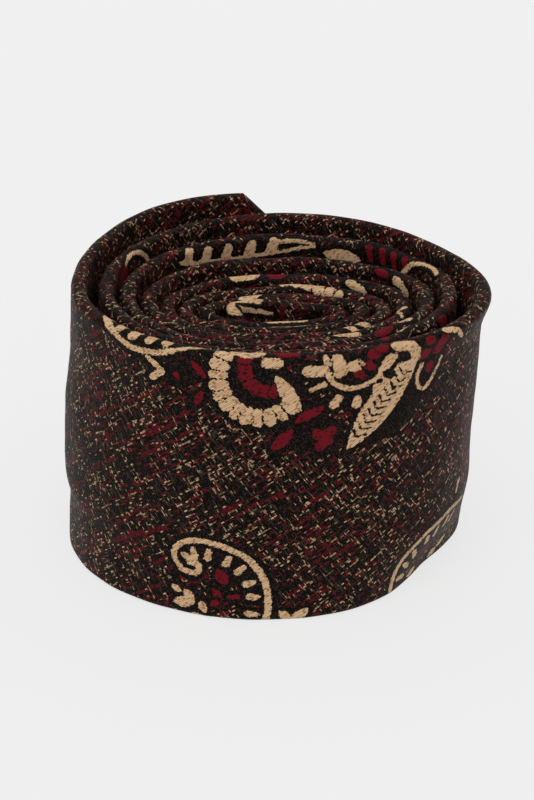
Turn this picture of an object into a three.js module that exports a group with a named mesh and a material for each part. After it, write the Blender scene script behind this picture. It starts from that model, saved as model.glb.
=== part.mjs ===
// A paisley jacquard necktie, rolled up from its tail and stood on its lower folded edge.
// Millimetres, +Z up, +X right, +Y to the back. The outer end of the roll is at the back, and
// seen from above the tie runs inwards counter-clockwise: back, left, front, right.
import * as THREE from "three";

// ---- the tie laid flat ----
const BLADE_WIDTH = 75;
const BLADE_HOLD = 225; // the blade keeps its full width this far from its tip
const NECK_WIDTH = 38;
const NECK_AT = 950;
const TAIL_WIDTH = 46;
const BLADE_SEAM = 590; // where the blade is pieced to the neck
const NECK_SEAM = 1010; // where the neck is pieced to the tail
const SEAM_GAP = 1.2; // room for the line of stitches between two pieces
const CLOTH = 0.5;

// ---- layers through the tie, measured outwards from its middle surface ----
const FRONT = 1.8; // outside of the front face
const LOWER_FLAP = -1.3; // outside of the back flap that comes up from the lower fold
const UPPER_FLAP = -2.1; // outside of the back flap that comes down over it
const INTERLINING = [0.1, 1.0];
const TIPPING = [-0.45, -0.2];
const THREAD = 0.4;
const GAP = 0.3;
const OVERLAP = 3; // each back flap passes the middle by this much
const HEM = 8; // and turns back only this far at the points
const FOLD_ROOM = 1.9; // the layers inside stop this far short of the lower fold, and 0.2 more of the upper
const INTERLINING_END = 5; // the interlining starts this far from each point
const TIPPING_END = 6; // and the linings of the points here
const FRONT_TIPPING = 122; // and reach this far from the blade's point
const TAIL_TIPPING = 100; // and from the tail's
const TIPPING_STITCH = { from: 14, front: 13, tail: 7 }; // a V of stitches: its corner, and its arms' reach
const SLIP_STITCH = { fromBlade: 140, fromTail: 175 }; // where the long closing thread stops
const BAR_TACKS = { fromBlade: 128, fromTail: 165, long: 1.2, beyond: 2 };

// ---- what is sewn on the back, by its extent along the tie and its reach either side ----
const KEEPER = { along: [205, 215], reach: 18, rise: 0.9 };
const LABEL = { along: [228, 258], reach: 14, thick: 0.3 };
const CARE_LABEL = { along: [150, 172], reach: 9 };

// ---- the roll ----
const START_ANGLE = 60; // degrees from +X of the blade's point
const HALF_WIDTHS = [54.4, 53.9, 47.5, 46.7, 41.8, 41.2, 36.1, 35.1, 31.5, 29.6, 26.6, 24.3, 20.9, 19, 15.3];
const HALF_DEPTHS = [57.4, 52.6, 51.7, 44.1, 41.2, 35.5, 29.6, 28.1, 21.3, 21.5, 16.4, 15.6, 11.5, 10.1, 6.7];
const WIDTH_TURN = 120 / 360; // turns to the first half width, at the left
const DEPTH_TURN = 30 / 360; // turns to the first half depth, at the back
const SPIRAL_END = 7 + DEPTH_TURN; // turns, then the tail folds back through the eye
const EYE_TURN = 0.08; // turns counted from one point of the eye to the next
const EYE_POINTS = [
  [-3.2, 4.9], [-7.7, 4.3], [-10.8, 2.7], [-11.8, 0.2], [-10.8, -2.2], [-7.7, -3.5], [0, -3.2], [10, -1.3],
];
const RIM_TURNS = [0, 0.083, 0.333, 0.583, 0.833, 1.083, 2, 3, 4, 5, 6, 7, 7.3, 7.7];
const RIM_HEIGHTS = [76.2, 76.2, 75.2, 74.6, 73.9, 73.4, 71.3, 69.2, 67.1, 66, 65.5, 64.9, 66, 68.1];
const LEAN = [-3.4, 1.7]; // how far the foot of the roll is set off from its rim, in X and Y
const LIP = { turn: 0.84, spread: 0.13, out: 2.2, tall: 9 }; // the right rim flares outwards

const OUTER_STEPS = 36; // rings per turn at the outside of the roll and in its eye
const INNER_STEPS = 24;

// ---- materials: a mesh takes the one whose kind is in its name ----
const CLOTHS = {
  shell: 0x2b1a1c, tipping: 0x141214, interlining: 0xd9d4c8, label: 0x1c1a1c, stitch: 0x3a1016,
};
const cloth = (color) => new THREE.MeshStandardMaterial({ color, roughness: 0.8 });
const materials = Object.fromEntries(Object.entries(CLOTHS).map(([kind, color]) => [kind, cloth(color)]));
const materialOf = (name) => {
  const kind = Object.keys(CLOTHS).find((k) => name.includes(k) && !name.includes("stitch"));
  return materials[kind] ?? materials.stitch;
};

// ---- helpers ----
const { clamp, lerp, smoothstep: smooth } = THREE.MathUtils;

const bell = (x, at, spread) => Math.exp(-(((x - at) / spread) ** 2));

function linear(xs, ys, x) {
  if (x <= xs[0]) return ys[0];
  for (let i = 1; i < xs.length; i++)
    if (x <= xs[i]) return lerp(ys[i - 1], ys[i], (x - xs[i - 1]) / (xs[i] - xs[i - 1]));
  return ys[ys.length - 1];
}

// A smooth curve through values set half a turn apart, the first at turn t0.
function halfTurns(values, t0, turn) {
  const x = clamp((turn - t0) * 2, 0, values.length - 1);
  const i = clamp(Math.floor(x), 0, values.length - 2);
  const t = x - i;
  const at = (k) => values[clamp(k, 0, values.length - 1)];
  const m0 = (at(i + 1) - at(i - 1)) / 2;
  const m1 = (at(i + 2) - at(i)) / 2;
  return (
    (1 + 2 * t) * (1 - t) ** 2 * at(i) + t * (1 - t) ** 2 * m0 +
    t * t * (3 - 2 * t) * at(i + 1) + t * t * (t - 1) * m1
  );
}

// ---- the line of the roll seen from above, through the middle of the tie's thickness ----
function planLine() {
  const points = [];
  const turns = [];
  for (let i = 0; i <= Math.round(SPIRAL_END * 36); i++) {
    const turn = i / 36;
    const a = THREE.MathUtils.degToRad(START_ANGLE + 360 * turn);
    points.push(new THREE.Vector3(
      (halfTurns(HALF_WIDTHS, WIDTH_TURN, turn) - FRONT) * Math.cos(a),
      (halfTurns(HALF_DEPTHS, DEPTH_TURN, turn) - FRONT) * Math.sin(a),
      0,
    ));
    turns.push(turn);
  }
  EYE_POINTS.forEach(([x, y], i) => {
    points.push(new THREE.Vector3(x, y, 0));
    turns.push(SPIRAL_END + EYE_TURN * (i + 1));
  });
  const curve = new THREE.CatmullRomCurve3(points, false, "centripetal");
  const samples = (points.length - 1) * 8;
  const line = [];
  let s = 0;
  for (let i = 0; i <= samples; i++) {
    const p = curve.getPoint(i / samples);
    if (i) s += p.distanceTo(line[i - 1].p);
    const at = (i / samples) * (points.length - 1);
    const k = Math.min(Math.floor(at), points.length - 2);
    line.push({ s, p, turn: lerp(turns[k], turns[k + 1], at - k) });
  }
  return line;
}

const LINE = planLine();
const LENGTH = LINE[LINE.length - 1].s;

// ---- the tie's own outline ----
function width(s) {
  if (s < BLADE_HOLD) return BLADE_WIDTH;
  if (s < NECK_AT) return lerp(BLADE_WIDTH, NECK_WIDTH, (s - BLADE_HOLD) / (NECK_AT - BLADE_HOLD));
  return lerp(NECK_WIDTH, TAIL_WIDTH, (s - NECK_AT) / (LENGTH - NECK_AT));
}

// Half the width where both ends run out into a right-angled point.
const half = (s) => Math.min(width(s) / 2, s, LENGTH - s);

// ---- the rings that every layer shares, so that neighbouring facets stay parallel ----
function ringGrid() {
  const grid = [];
  let next = 0;
  for (const { s, turn } of LINE)
    if (turn >= next) {
      grid.push(s);
      next += 1 / lerp(OUTER_STEPS, INNER_STEPS, turn / SPIRAL_END);
    }
  const shoulders = [BLADE_WIDTH / 2, LENGTH - TAIL_WIDTH / 2, LENGTH];
  const clear = grid.filter((s) => shoulders.every((c) => Math.abs(s - c) > 1));
  return [...clear, ...shoulders].sort((a, b) => a - b);
}

const GRID = ringGrid();

// Where the tie's middle surface runs at one ring: foot height, direction outwards, and the lip's share.
function station(s) {
  const i = clamp(LINE.findIndex((l) => l.s >= s), 1, LINE.length - 1);
  const a = LINE[i - 1];
  const b = LINE[i];
  const t = (s - a.s) / (b.s - a.s);
  const turn = lerp(a.turn, b.turn, t);
  const before = LINE[Math.max(i - 2, 0)].p;
  const after = LINE[Math.min(i + 1, LINE.length - 1)].p;
  const d = after.clone().sub(before).normalize();
  const top = linear(RIM_TURNS, RIM_HEIGHTS, turn);
  return {
    p: a.p.clone().lerp(b.p, t),
    out: new THREE.Vector3(d.y, -d.x, 0),
    middle: Math.max(top - width(s), 0) + width(s) / 2,
    lip: LIP.out * bell(turn, LIP.turn, LIP.spread),
    edge: width(s) / 2,
  };
}

const STATIONS = GRID.map(station);

function atStation({ p, out, middle, lip, edge }, v, n) {
  const z = middle + v;
  const low = 1 - z / BLADE_WIDTH;
  return p.clone()
    .addScaledVector(out, n + lip * smooth(v, edge - LIP.tall, edge))
    .add(new THREE.Vector3(LEAN[0] * low, LEAN[1] * low, z));
}

// From tie coordinates to space: s along, v across from the middle (+ to the rim), n outwards.
function place(s, v, n) {
  const i = clamp(GRID.findIndex((g) => g >= s), 1, GRID.length - 1);
  const t = (s - GRID[i - 1]) / (GRID[i] - GRID[i - 1]);
  return atStation(STATIONS[i - 1], v, n).lerp(atStation(STATIONS[i], v, n), t);
}

// ---- lofts: rings of section points joined one to the next, capped at both ends ----
// A ring's points are [along, across, outwards]; the caps are cut in the plane of capAxis and outwards.
function loft(name, rings, capAxis) {
  const positions = rings.flatMap((ring) => ring.flatMap((point) => place(...point).toArray()));
  const m = rings[0].length;
  const index = [];
  for (let i = 0; i + 1 < rings.length; i++)
    for (let j = 0; j < m; j++) {
      const a = i * m + j;
      const b = i * m + ((j + 1) % m);
      index.push(a, b, b + m, a, b + m, a + m);
    }
  const cap = (ring, base, turned) => {
    const flat = ring.map((point) => new THREE.Vector2(point[capAxis], point[2]));
    const wound = THREE.ShapeUtils.isClockWise(flat) !== turned;
    for (const [a, b, c] of THREE.ShapeUtils.triangulateShape(flat, []))
      index.push(base + a, base + (wound ? b : c), base + (wound ? c : b));
  };
  cap(rings[0], 0, false);
  cap(rings[rings.length - 1], (rings.length - 1) * m, true);
  return solid(name, positions, index);
}

function solid(name, positions, index) {
  const at = (i) => new THREE.Vector3().fromArray(positions, 3 * i);
  let volume = 0;
  for (let i = 0; i < index.length; i += 3)
    volume += at(index[i]).dot(at(index[i + 1]).cross(at(index[i + 2])));
  if (volume < 0)
    for (let i = 0; i < index.length; i += 3) [index[i + 1], index[i + 2]] = [index[i + 2], index[i + 1]];
  const geometry = new THREE.BufferGeometry();
  geometry.setAttribute("position", new THREE.Float32BufferAttribute(positions, 3));
  geometry.setIndex(index);
  const mesh = new THREE.Mesh(geometry, materialOf(name));
  mesh.name = name;
  return mesh;
}

const ringsBetween = (a, b) => [a, ...GRID.filter((s) => s > a + 0.8 && s < b - 0.8), b];

function sweep(name, a, b, section) {
  return loft(name, ringsBetween(a, b).map((s) => section(s).map(([v, n]) => [s, v, n])), 1);
}

// ---- the folded shell ----
// How far each back flap reaches past the middle: only a hem at the points, an overlap elsewhere.
function flapReach(s, h) {
  const closed = smooth(Math.min(s, LENGTH - s), 30, 115);
  return lerp(-Math.max(h - HEM, 0.25 * h), OVERLAP, closed);
}

function shellSection(s) {
  const h = half(s);
  const reach = flapReach(s, h);
  const top = (d) => h - d * Math.min(1, h / HEM);
  const bottom = (d) => -top(d);
  return [
    [-reach, UPPER_FLAP], [top(1.6), UPPER_FLAP], [top(0.4), UPPER_FLAP + 0.7], [top(0), -0.15],
    [top(0.4), FRONT - 0.7], [top(1.6), FRONT], [0, FRONT], [bottom(1.2), FRONT], [bottom(0), FRONT - 0.8],
    [bottom(0), LOWER_FLAP + 0.8], [bottom(1.2), LOWER_FLAP], [reach, LOWER_FLAP],
    [reach, LOWER_FLAP + CLOTH], [bottom(1.3), LOWER_FLAP + CLOTH], [bottom(0.6), LOWER_FLAP + 1.05],
    [bottom(0.6), FRONT - 1.05], [bottom(1.3), FRONT - CLOTH], [0, FRONT - CLOTH], [top(1.7), FRONT - CLOTH],
    [top(0.8), FRONT - 1.0], [top(0.6), -0.15], [top(0.8), UPPER_FLAP + 1.0], [top(1.7), UPPER_FLAP + CLOTH],
    [-reach, UPPER_FLAP + CLOTH],
  ];
}

function shells() {
  const cut = SEAM_GAP / 2;
  return [
    sweep("front_blade_shell", 0.6, BLADE_SEAM - cut, shellSection),
    sweep("neck_shell", BLADE_SEAM + cut, NECK_SEAM - cut, shellSection),
    sweep("tail_shell", NECK_SEAM + cut, LENGTH - 0.6, shellSection),
  ];
}

// ---- flat layers inside the shell ----
// A strip across the tie, with a middle point.
const strip = (v0, v1, n0, n1) => [[v0, n0], [0, n0], [v1, n0], [v1, n1], [0, n1], [v0, n1]];

function interlining() {
  const section = (s) => strip(FOLD_ROOM - half(s), half(s) - FOLD_ROOM - 0.2, ...INTERLINING);
  return sweep("interlining", INTERLINING_END, LENGTH - INTERLINING_END, section);
}

function tippings() {
  const section = (s) => strip(FOLD_ROOM + 0.2 - half(s), half(s) - FOLD_ROOM - 0.4, ...TIPPING);
  return [
    sweep("front_tipping", TIPPING_END, FRONT_TIPPING, section),
    sweep("tail_tipping", LENGTH - TAIL_TIPPING, LENGTH - TIPPING_END, section),
  ];
}

// ---- threads ----
// The one long thread that closes the back, lying along the edge of the upper flap.
function slipStitch() {
  const v = -OVERLAP - GAP - THREAD;
  const n = LOWER_FLAP - GAP;
  const section = () => [[v, n], [v + THREAD, n], [v + THREAD / 2, n - THREAD]];
  return sweep("slip_stitch", SLIP_STITCH.fromBlade, LENGTH - SLIP_STITCH.fromTail, section);
}

// A thread laid across the tie at distance s(v), from v0 to v1, its outer side at n.
function crossThread(name, s, v0, v1, n) {
  const steps = 8;
  const rings = Array.from({ length: steps + 1 }, (_, i) => {
    const v = lerp(v0, v1, i / steps);
    return [[s(v) - THREAD / 2, v, n], [s(v) + THREAD / 2, v, n], [s(v), v, n - THREAD]];
  });
  return loft(name, rings, 0);
}

// The piecing seams run across the front, in the gap between two shells.
function seamThreads() {
  return [["front_seam_stitch", BLADE_SEAM], ["tail_seam_stitch", NECK_SEAM]].map(([name, at]) => {
    const reach = width(at) / 2 - 2.5;
    return crossThread(name, () => at, -reach, reach, FRONT - 0.1);
  });
}

// The lining's points are sewn down by a V of stitches between the two hems.
function tippingThreads() {
  const n = TIPPING[0] - GAP;
  const { from, front, tail } = TIPPING_STITCH;
  return [
    crossThread("front_tipping_stitch", (v) => from + Math.abs(v), -front, front, n),
    crossThread("tail_tipping_stitch", (v) => LENGTH - from - Math.abs(v), -tail, tail, n),
  ];
}

// ---- what is sewn on the back ----
// A flat block from s0 to s1 along and v0 to v1 across, its inner side GAP off the surface at n.
function patch(name, [s0, s1], [v0, v1], n, thick) {
  const near = n - GAP;
  const far = near - thick;
  const steps = Math.max(1, Math.round((s1 - s0) / 7));
  const rings = Array.from({ length: steps + 1 }, (_, i) => {
    const s = lerp(s0, s1, i / steps);
    return [[s, v0, near], [s, v1, near], [s, v1, far], [s, v0, far]];
  });
  return loft(name, rings, 1);
}

function keeper() {
  const [s0, s1] = KEEPER.along;
  const rings = [-1, -0.8, -0.4, 0, 0.4, 0.8, 1].map((t) => {
    const v = KEEPER.reach * t;
    const near = UPPER_FLAP - GAP - KEEPER.rise * (1 - t ** 4);
    const far = near - CLOTH;
    return [[s0, v, near], [s1, v, near], [s1, v, far], [s0, v, far]];
  });
  const stitch = (name, t) =>
    patch(name, [s0 + 1.5, s1 - 1.5], [t * KEEPER.reach - 0.5, t * KEEPER.reach + 0.5],
      UPPER_FLAP - GAP - CLOTH - KEEPER.rise * (1 - t ** 4) - 0.15, THREAD);
  return [
    loft("keeper_loop", rings, 0),
    stitch("keeper_stitch_upper", 0.93),
    stitch("keeper_stitch_lower", -0.93),
  ];
}

function labels() {
  const [s0, s1] = LABEL.along;
  const reach = LABEL.reach;
  const face = UPPER_FLAP - GAP - LABEL.thick;
  const c0 = CARE_LABEL.along[0];
  const care = CARE_LABEL.reach;
  return [
    patch("woven_label", LABEL.along, [-reach, reach], UPPER_FLAP, LABEL.thick),
    patch("woven_label_stitch_upper", [s0 + 1, s1 - 1], [reach - 1.6, reach - 1.2], face, THREAD),
    patch("woven_label_stitch_lower", [s0 + 1, s1 - 1], [1.2 - reach, 1.6 - reach], face, THREAD),
    patch("care_label", CARE_LABEL.along, [-care, care], UPPER_FLAP, LABEL.thick),
    patch("care_label_stitch", [c0 + 1, c0 + 1.5], [1 - care, care - 1], face, THREAD),
  ];
}

// Dense short bars across the seam where the flaps begin to part, one near each point.
function barTacks() {
  const reach = OVERLAP + BAR_TACKS.beyond;
  const tack = (name, s) => patch(name, [s, s + BAR_TACKS.long], [-reach, reach], UPPER_FLAP, THREAD);
  return [tack("front_bar_tack", BAR_TACKS.fromBlade), tack("tail_bar_tack", LENGTH - BAR_TACKS.fromTail)];
}

// ---- the object ----
const tie = new THREE.Group();
tie.add(...shells(), interlining(), ...tippings(), slipStitch(), ...seamThreads(), ...tippingThreads());
tie.add(...keeper(), ...labels(), ...barTacks());

// The origin is the middle of the footprint, on the table.
const box = new THREE.Box3().setFromObject(tie);
const middle = box.getCenter(new THREE.Vector3());
for (const mesh of tie.children) mesh.geometry.translate(-middle.x, -middle.y, -box.min.z);

export default tie;
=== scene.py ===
"""A rolled paisley necktie: the folded cloth, what is inside it, and the stitches that hold it."""

import math

import bpy
import numpy as np
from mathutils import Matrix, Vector


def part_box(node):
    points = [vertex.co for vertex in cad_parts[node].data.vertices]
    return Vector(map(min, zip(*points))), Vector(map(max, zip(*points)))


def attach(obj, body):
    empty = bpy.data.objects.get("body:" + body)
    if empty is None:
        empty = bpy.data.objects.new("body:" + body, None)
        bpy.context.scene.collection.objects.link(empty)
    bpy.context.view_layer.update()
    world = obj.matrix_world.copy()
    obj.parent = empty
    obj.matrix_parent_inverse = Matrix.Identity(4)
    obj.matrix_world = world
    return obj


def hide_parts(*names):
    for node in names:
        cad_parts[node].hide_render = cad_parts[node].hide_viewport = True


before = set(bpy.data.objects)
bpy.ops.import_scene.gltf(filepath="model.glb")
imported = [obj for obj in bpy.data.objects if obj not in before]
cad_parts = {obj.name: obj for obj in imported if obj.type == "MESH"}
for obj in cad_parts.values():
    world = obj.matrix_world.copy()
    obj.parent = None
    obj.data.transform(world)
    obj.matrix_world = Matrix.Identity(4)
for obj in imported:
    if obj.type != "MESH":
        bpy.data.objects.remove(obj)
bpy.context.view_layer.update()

MM = 0.001
ROOT = "root"

# ---- the tie laid flat, in millimetres, as part.mjs has it ----
BLADE_WIDTH, BLADE_HOLD = 75.0, 225.0
NECK_WIDTH, NECK_AT = 38.0, 950.0
TAIL_WIDTH = 46.0
BLADE_SEAM, NECK_SEAM = 590.0, 1010.0
SEAM_GAP = 0.3  # narrower than the solids' gap, so that only a thread shows in it
CLOTH = 0.5
FRONT, LOWER_FLAP, UPPER_FLAP = 1.8, -1.3, -2.1
INTERLINING = (0.1, 1.0)
TIPPING = (-0.45, -0.2)
OVERLAP, HEM = 3.0, 8.0
TOP_FOLD, LOWER_FOLD = 1.6, 1.3  # how deep the rounded part of each folded edge is
SHELL_END, INTERLINING_END, TIPPING_END = 0.6, 5, 6  # where each layer starts, from the points
FOLD_ROOM = 1.9  # the layers inside stop this far short of the folds
BLADE_TIPPING, TAIL_TIPPING = 122, 100
TIPPING_STITCH = 14.0
TIPPING_STITCH_REACH = dict(blade=13, tail=7)
SLIP_STITCH = dict(from_blade=140, from_tail=175)
BAR_TACK = dict(from_blade=128, from_tail=165, beyond=2)
KEEPER = dict(along=(205, 215), reach=18, rise=0.9)
LABEL = dict(along=(228, 258), reach=14)
CARE_LABEL = dict(along=(150, 172), reach=9)

# ---- the roll, as part.mjs has it: half widths and depths are half a turn apart ----
START_ANGLE = 60
HALF_WIDTHS = [54.4, 53.9, 47.5, 46.7, 41.8, 41.2, 36.1, 35.1, 31.5, 29.6, 26.6, 24.3, 20.9, 19, 15.3]
HALF_DEPTHS = [57.4, 52.6, 51.7, 44.1, 41.2, 35.5, 29.6, 28.1, 21.3, 21.5, 16.4, 15.6, 11.5, 10.1, 6.7]
WIDTH_TURN, DEPTH_TURN = 120 / 360, 30 / 360
SPIRAL_END = 7 + DEPTH_TURN
EYE_POINTS = [(-3.2, 4.9), (-7.7, 4.3), (-10.8, 2.7), (-11.8, 0.2), (-10.8, -2.2), (-7.7, -3.5),
              (0, -3.2), (10, -1.3)]
OUTER_TURN = 345  # the outermost turn and the overlap, as a length of tie
RIM_TURNS = [0, 0.083, 0.333, 0.583, 0.833, 1.083, 2, 3, 4, 5, 6, 7, 7.3, 7.7]
RIM_HEIGHTS = [76.2, 76.2, 75.2, 74.6, 73.9, 73.4, 71.3, 69.2, 67.1, 66, 65.5, 64.9, 66, 68.1]
LEAN = (-3.4, 1.7)

# ---- how the cloth departs from the plain roll, in millimetres outwards at a turn ----
LIP = dict(turn=0.84, spread=0.13, out=2.2, tall=9)
SWELL = dict(turn=0.36, spread=0.12, out=1.5)
TUCK = dict(turn=0.745, spread=0.065, out=-6.2, tall=20)
FLARE = dict(turn=0.17, spread=0.09, out=3.2, lift=1.2)
PINCH = dict(turn=0.92, spread=0.085, out=-3.6)
WAVE = dict(out=0.35, long=34, fine=0.12, short=9)
RIM_WAVE = dict(up=0.35, long=26, fine=0.3, short=11)
CREASES = dict(out=0.3, apart=4.2, spread=0.07, tall=16)

# ---- the stage ----
FLOOR_SIZE, FLOOR_TONE, FLOOR_GLOW = 3.0, 0.13, 0.725
SKY = 0.5

# ---- the camera, in millimetres from the middle of the roll ----
CAMERA_DISTANCE, CAMERA_ELEVATION = 654.7, 25.2
AIM = (-3.45, 0.8, 38.5)
LENS, SENSOR = 73.1, 24


# ---- numbers ----
def smooth(x, low, high):
    """0 below low, 1 above high, and an even ramp between."""
    t = np.clip((x - low) / (high - low), 0, 1)
    return t * t * (3 - 2 * t)


def bell(x, middle, spread):
    return np.exp(-(((x - middle) / spread) ** 2))


def ripple(x, y, size, seed):
    """A smooth uneven field of about -1 to 1, with swells of about `size`."""
    total = 0
    for k in range(4):
        a = 2.4 * k + seed
        f = (1 + 0.37 * k) * math.pi / size
        total = total + np.sin(f * (x * math.cos(a) + y * math.sin(a)) + 5.1 * a) / (1 + 0.3 * k)
    return total / 2.4


def half_turns(values, first, turn):
    """A smooth curve through values that are half a turn apart."""
    values = np.array(values, float)
    x = np.clip((turn - first) * 2, 0, len(values) - 1)
    i = np.clip(np.floor(x).astype(int), 0, len(values) - 2)
    t = x - i

    def at(k):
        return values[np.clip(k, 0, len(values) - 1)]

    m0, m1 = (at(i + 1) - at(i - 1)) / 2, (at(i + 2) - at(i)) / 2
    return ((1 + 2 * t) * (1 - t) ** 2 * at(i) + t * (1 - t) ** 2 * m0
            + t * t * (3 - 2 * t) * at(i + 1) + t * t * (t - 1) * m1)


def through(points, count):
    """A smooth open curve through points, as `count` even points."""
    points = np.array(points, float)
    knots = np.concatenate([[0], np.cumsum(np.linalg.norm(np.diff(points, axis=0), axis=1) ** 0.5)])
    slopes = np.gradient(points, knots, axis=0)
    u = np.linspace(0, knots[-1], 40 * len(points))
    i = np.clip(np.searchsorted(knots, u, side="right") - 1, 0, len(knots) - 2)
    h = (knots[i + 1] - knots[i])[:, None]
    t = ((u - knots[i]) / (knots[i + 1] - knots[i]))[:, None]
    p = ((1 + 2 * t) * (1 - t) ** 2 * points[i] + t * (1 - t) ** 2 * h * slopes[i]
         + t * t * (3 - 2 * t) * points[i + 1] + t * t * (t - 1) * h * slopes[i + 1])
    run = np.concatenate([[0], np.cumsum(np.linalg.norm(np.diff(p[:, :2], axis=0), axis=1))])
    even = np.linspace(0, run[-1], count)
    return even, np.stack([np.interp(even, run, p[:, k]) for k in range(p.shape[1])], 1)


# ---- the line of the roll, seen from above ----
def plan_line():
    """Distance, x, y, turn and outward direction along the tie, from the blade's point to the tail's."""
    turn = np.arange(0, round(SPIRAL_END * 36) + 1) / 36
    a = np.radians(START_ANGLE + 360 * turn)
    x = (half_turns(HALF_WIDTHS, WIDTH_TURN, turn) - FRONT) * np.cos(a)
    y = (half_turns(HALF_DEPTHS, DEPTH_TURN, turn) - FRONT) * np.sin(a)
    eye = np.array(EYE_POINTS)
    turns = np.concatenate([turn, SPIRAL_END + 0.08 * np.arange(1, len(eye) + 1)])
    points = np.column_stack([np.vstack([np.column_stack([x, y]), eye]), turns])
    s, line = through(points, 6000)
    reach = 20
    weights = bell(np.arange(-reach, reach + 1), 0, reach / 2)
    dx, dy = (np.convolve(np.pad(np.gradient(line[:, k]), reach, mode="edge"), weights, mode="valid")
              for k in (0, 1))
    size = np.hypot(dx, dy)
    return s, line[:, 0], line[:, 1], line[:, 2], dy / size, -dx / size


LINE_S, LINE_X, LINE_Y, LINE_TURN, LINE_OUT_X, LINE_OUT_Y = plan_line()
LENGTH = LINE_S[-1]


def width(s):
    s = np.asarray(s, float)
    to_neck = np.clip((s - BLADE_HOLD) / (NECK_AT - BLADE_HOLD), 0, 1)
    to_tail = np.clip((s - NECK_AT) / (LENGTH - NECK_AT), 0, 1)
    return BLADE_WIDTH + (NECK_WIDTH - BLADE_WIDTH) * to_neck + (TAIL_WIDTH - NECK_WIDTH) * to_tail


def half(s):
    """Half the width where both ends run out into a right-angled point."""
    return np.minimum(width(s) / 2, np.minimum(s, LENGTH - s))


def relief(s, v, turn, edge):
    """How far the cloth's swells, tucks and creases stand out from the plain roll."""
    def at(place):
        return place["out"] * bell(turn, place["turn"], place["spread"])

    swell = at(SWELL) * smooth(-v, -21, -4) * smooth(v, -edge + 14, -edge + 22)
    tuck = at(TUCK) * smooth(-v, edge - TUCK["tall"], edge)
    rim = (at(FLARE) + at(PINCH)) * smooth(v, -edge, edge)
    loose = (WAVE["out"] * ripple(s, v, WAVE["long"], 1.0)
             + WAVE["fine"] * ripple(s, v, WAVE["short"], 4.0))
    at_left = bell((turn - WIDTH_TURN + 0.5) % 1, 0.5, CREASES["spread"])
    tight = at_left * smooth(turn, 1.8, 2.4) * smooth(v, edge - CREASES["tall"], edge)
    creases = CREASES["out"] * tight * np.sin(s * 2 * math.pi / CREASES["apart"])
    return swell + tuck + rim + loose + creases


def place(s, v, n, detail=1):
    """From tie coordinates (along, across, outwards) to space, in millimetres before the shift."""
    s, v, n = np.broadcast_arrays(np.asarray(s, float), np.asarray(v, float), np.asarray(n, float))
    turn = np.interp(s, LINE_S, LINE_TURN)
    edge = width(s) / 2
    foot = np.maximum(np.interp(turn, RIM_TURNS, RIM_HEIGHTS) - 2 * edge, 0)
    lift = (RIM_WAVE["up"] * ripple(s, 0 * s, RIM_WAVE["long"], 2.0)
            + RIM_WAVE["fine"] * ripple(s, 0 * s, RIM_WAVE["short"], 6.0)) * smooth(turn, 0.9, 1.6)
    lift = lift + FLARE["lift"] * bell(turn, FLARE["turn"], FLARE["spread"])
    z = foot + edge + v + detail * lift * smooth(v, -edge, edge)
    lip = LIP["out"] * bell(turn, LIP["turn"], LIP["spread"]) * smooth(v, edge - LIP["tall"], edge)
    out = n + lip + detail * relief(s, v, turn, edge)
    low = 1 - z / BLADE_WIDTH
    x = np.interp(s, LINE_S, LINE_X) + out * np.interp(s, LINE_S, LINE_OUT_X) + LEAN[0] * low
    y = np.interp(s, LINE_S, LINE_Y) + out * np.interp(s, LINE_S, LINE_OUT_Y) + LEAN[1] * low
    return np.stack([x, y, z], -1)


def roll_shift():
    """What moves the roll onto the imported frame: from the middle of the blade's box to the node's."""
    s, t = np.meshgrid(np.linspace(SHELL_END, 400, 1500), np.linspace(-1, 1, 41))
    blade = place(s, t * half(s), FRONT, detail=0).reshape(-1, 3)
    middle = (blade.min(0) + blade.max(0)) / 2
    low, high = (np.array(corner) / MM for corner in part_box("front_blade_shell"))
    return np.append(((low + high) / 2 - middle)[:2], low[2])


SHIFT = roll_shift()


# ---- meshes ----
def mesh_piece(name, nodes, points, faces, material, uv, slot):
    """A piece of the tie that stands for CAD nodes. Points are in millimetres, and so is the cloth's uv."""
    mesh = bpy.data.meshes.new(name)
    mesh.from_pydata((np.asarray(points) + SHIFT).reshape(-1, 3) * MM, [], faces)
    mesh.polygons.foreach_set("use_smooth", [True] * len(mesh.polygons))
    uv = np.asarray(uv, float).reshape(-1, 2)
    corners = np.empty(len(mesh.loops), int)
    mesh.loops.foreach_get("vertex_index", corners)
    layer = mesh.uv_layers.new(name="cloth")
    layer.data.foreach_set("uv", (uv[corners] * MM).ravel())
    if slot == "jacquard":
        motif = mesh.attributes.new("motif", "FLOAT_VECTOR", "POINT")
        motif.data.foreach_set("vector", motif_field(*uv.T).ravel())
    piece = bpy.data.objects.new(name, mesh)
    bpy.context.collection.objects.link(piece)
    mesh.materials.append(material)
    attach(piece, ROOT)
    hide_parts(*nodes)
    return piece


def loft_faces(rings, columns):
    """Quads that join closed rings one to the next, and a cap at each end."""
    i, j = np.meshgrid(np.arange(rings - 1), np.arange(columns), indexing="ij")
    a, b = i * columns + j, i * columns + (j + 1) % columns
    quads = np.stack([a, b, b + columns, a + columns], -1).reshape(-1, 4).tolist()
    first = list(range(columns))[::-1]
    last = list(range((rings - 1) * columns, rings * columns))
    return quads + [first, last]


def stations(low, high, fine, coarse):
    """Distances along the tie, close together on the outer turn and wider further in."""
    near = np.arange(low, min(high, OUTER_TURN), fine)
    far = np.arange(max(low, OUTER_TURN), high, coarse)
    return np.append(np.concatenate([near, far]), high)


# ---- the folded shell ----
def flap_reach(s, h):
    """How far a back flap passes the middle: an overlap, but only a hem at the points."""
    closed = smooth(np.minimum(s, LENGTH - s), 30, 115)
    return -np.maximum(h - HEM, 0.25 * h) * (1 - closed) + OVERLAP * closed


def arc(h, depth, back, front, angles):
    """Half an ellipse round a fold, across from h - depth to h and outwards from back to front."""
    middle, rise = (front + back) / 2, (front - back) / 2
    return h - depth + depth * np.cos(angles), middle + rise * np.sin(angles) + 0 * h


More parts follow.
